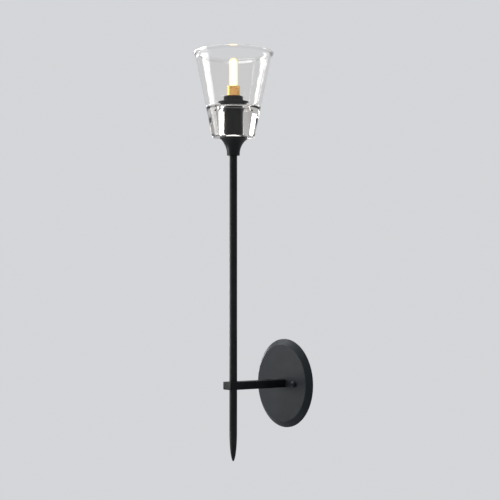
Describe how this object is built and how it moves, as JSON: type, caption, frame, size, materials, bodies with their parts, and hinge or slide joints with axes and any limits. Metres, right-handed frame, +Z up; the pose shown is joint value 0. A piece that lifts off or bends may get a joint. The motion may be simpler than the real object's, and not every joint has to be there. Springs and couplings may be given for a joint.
{
  "type": "torch sconce",
  "caption": "Wall sconce: a bevelled round plate, a flat arm and a tall pointed stem that carries a clear glass shade with a thick base over a small tubular lamp.",
  "frame": {"origin": "centre of the backplate, in the plane of the wall", "axes": "+Z up along the stem, +Y into the wall so that the light stands out towards -Y, +X to the right as one faces the wall"},
  "size_m": [0.12, 0.1414, 0.5443],
  "materials": {
    "blackened_steel": "satin",
    "plate_black": "satin",
    "holder_black": "satin",
    "zinc_steel": "satin",
    "turned_brass": "satin",
    "gilt_collar": "satin",
    "clear_glass": "polished",
    "lamp_glass": "frosted",
    "light_post": "matte",
    "ceramic": "matte",
    "black_rubber": "matte",
    "earth_green": "satin",
    "brown_lead": "satin",
    "pale_lead": "satin"
  },
  "bodies": {
    "fixture": {"backplate": "plate_black", "mounting_strap": "zinc_steel", "canopy_studs": "turned_brass", "stud_lock_nuts": "zinc_steel", "earth_screw": "earth_green", "arm": "blackened_steel", "arm_nipple": "turned_brass", "arm_nipple_washer": "zinc_steel", "arm_nipple_nut": "zinc_steel", "wire_bush": "black_rubber", "stem_tube": "blackened_steel", "stem_tip": "blackened_steel", "stem_set_screw": "blackened_steel", "trumpet_cup": "blackened_steel", "cup_nipple": "turned_brass", "lampholder_sleeve": "holder_black", "socket_bracket": "zinc_steel", "cup_lock_washer": "zinc_steel", "cup_lock_nut": "zinc_steel", "socket_insert": "ceramic", "socket_screws": "zinc_steel", "socket_contacts": "turned_brass", "gasket_lower": "black_rubber", "glass_shade": "clear_glass", "gasket_upper": "black_rubber", "lead_live": "brown_lead", "lead_neutral": "pale_lead"},
    "left_nut": {"cap_nut_left": "blackened_steel"},
    "right_nut": {"cap_nut_right": "blackened_steel"},
    "glass_ring": {"retaining_ring": "holder_black"},
    "lamp": {"bulb_envelope": "lamp_glass", "bulb_collar": "gilt_collar", "bulb_pins": "zinc_steel", "bulb_light_post": "light_post"}
  },
  "joints": [
    {"name": "lamp_pull", "type": "slide", "parent": "fixture", "child": "lamp", "axis": [0, 0, 1], "range_m": [0, 0.018]},
    {"name": "ring_turn", "type": "hinge", "parent": "fixture", "child": "glass_ring", "pos_m": [0, -0.0876, 0.369], "axis": [0, 0, 1], "continuous": true},
    {"name": "left_nut_turn", "type": "hinge", "parent": "fixture", "child": "left_nut", "pos_m": [-0.028, -0.0066, 0], "axis": [0, -1, 0], "continuous": true},
    {"name": "right_nut_turn", "type": "hinge", "parent": "fixture", "child": "right_nut", "pos_m": [0.028, -0.0066, 0], "axis": [0, -1, 0], "continuous": true}
  ]
}
